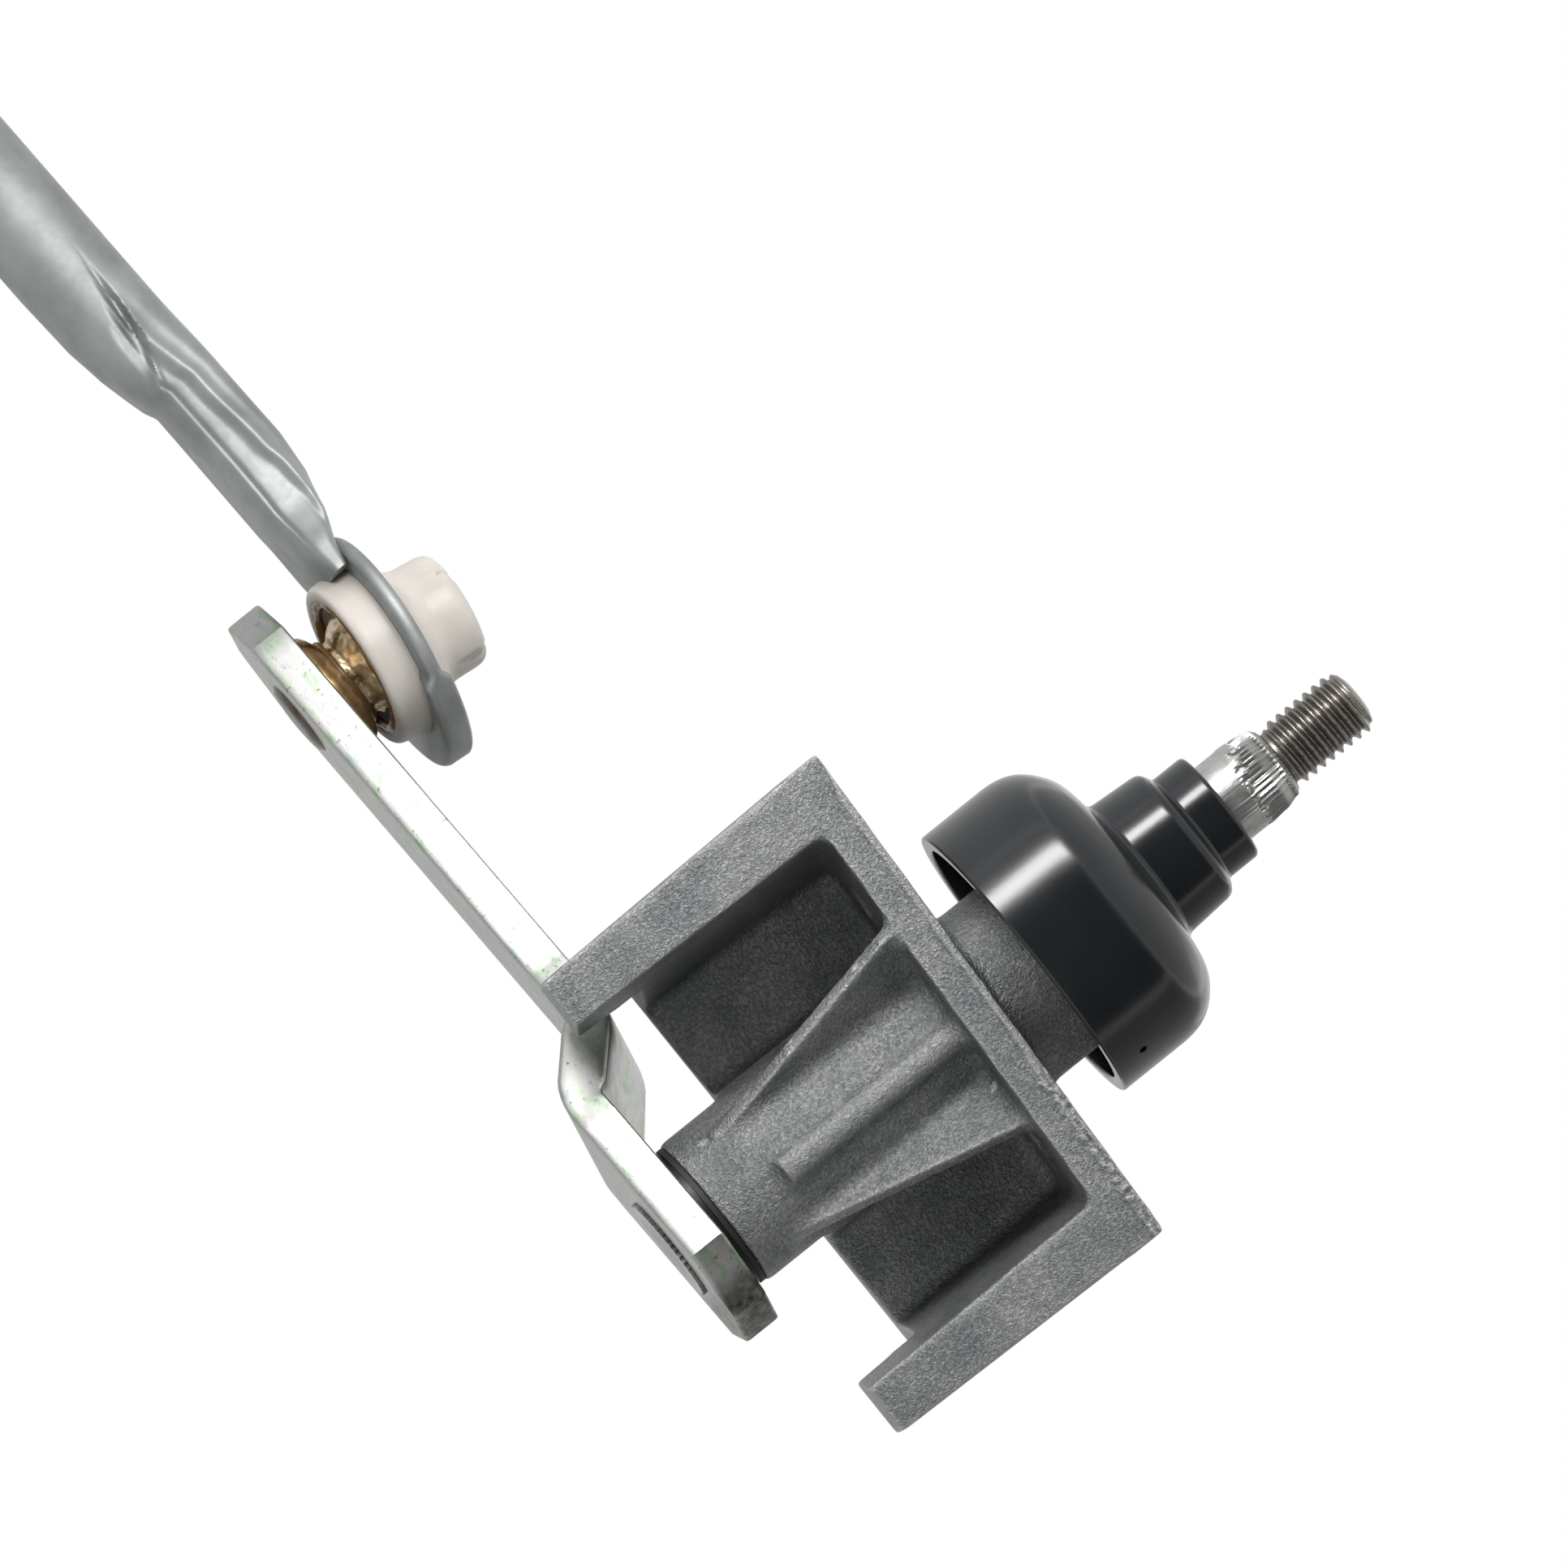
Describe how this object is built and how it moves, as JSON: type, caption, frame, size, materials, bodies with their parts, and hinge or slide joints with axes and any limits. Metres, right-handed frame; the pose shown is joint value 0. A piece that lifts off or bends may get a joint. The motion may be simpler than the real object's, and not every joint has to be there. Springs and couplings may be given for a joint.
{
  "type": "windshield wiper pivot with crank lever and link rod",
  "caption": "Wiper pivot housing with threaded spindle, splash cap, joggled crank lever, ball stud and tubular link rod with plastic ball sockets.",
  "frame": {"origin": "on the spindle axis, in the sloping flange face that seats under the cowl, midway between the two screw holes; the screw pattern is stated 1.2 mm below it, at a height that both holes of the sloping plate reach", "axes": "+Z along the spindle towards its threaded tip; the crank lever and link rod lead away towards -X; the housing channel opens towards -Y"},
  "size_m": [0.4143, 0.1011, 0.0976],
  "materials": {
    "cast_housing": "as cast, shot blasted",
    "bronze": "sintered, oiled",
    "seal_rubber": "matt",
    "felt": "oiled felt",
    "spindle_steel": "turned and rolled",
    "washer_steel": "phosphated",
    "cap_plastic": "semi-gloss black",
    "zinc_plate": "bright zinc plate",
    "stud_steel": "greased",
    "galvanised_tube": "dull galvanised",
    "socket_plastic": "natural off-white"
  },
  "bodies": {
    "housing_body": {"housing": "cast_housing", "lower_bush": "bronze", "upper_bush": "bronze", "upper_seal": "seal_rubber", "oil_felt": "felt"},
    "spindle_body": {"spindle": "spindle_steel", "lower_seal_ring": "seal_rubber", "lower_thrust_washer": "washer_steel", "upper_thrust_washer": "washer_steel", "wave_washer": "washer_steel", "circlip": "washer_steel", "cap_o_ring": "seal_rubber", "splash_cap": "cap_plastic", "crank_lever": "zinc_plate", "ball_stud": "stud_steel"},
    "seal_body": {"near_dust_seal": "seal_rubber"},
    "rod_body": {"link_rod": "galvanised_tube", "near_ball_socket": "socket_plastic", "far_ball_socket": "socket_plastic"}
  },
  "joints": [
    {"name": "spindle_turn", "type": "hinge", "parent": "housing_body", "child": "spindle_body", "pos_m": [0, 0, 0], "axis": [0, 0, -1], "range_deg": [0, 110]},
    {"name": "rod_swing", "type": "hinge", "parent": "spindle_body", "child": "seal_body", "pos_m": [-0.07111, 0.02873, -0.0242], "axis": [0, 0, 1], "range_deg": [-60, 120]},
    {"name": "rod_tilt", "type": "hinge", "parent": "seal_body", "child": "rod_body", "pos_m": [-0.07111, 0.02873, -0.0242], "axis": [0.1392, 0.9903, 0], "range_deg": [-8, 6]}
  ]
}
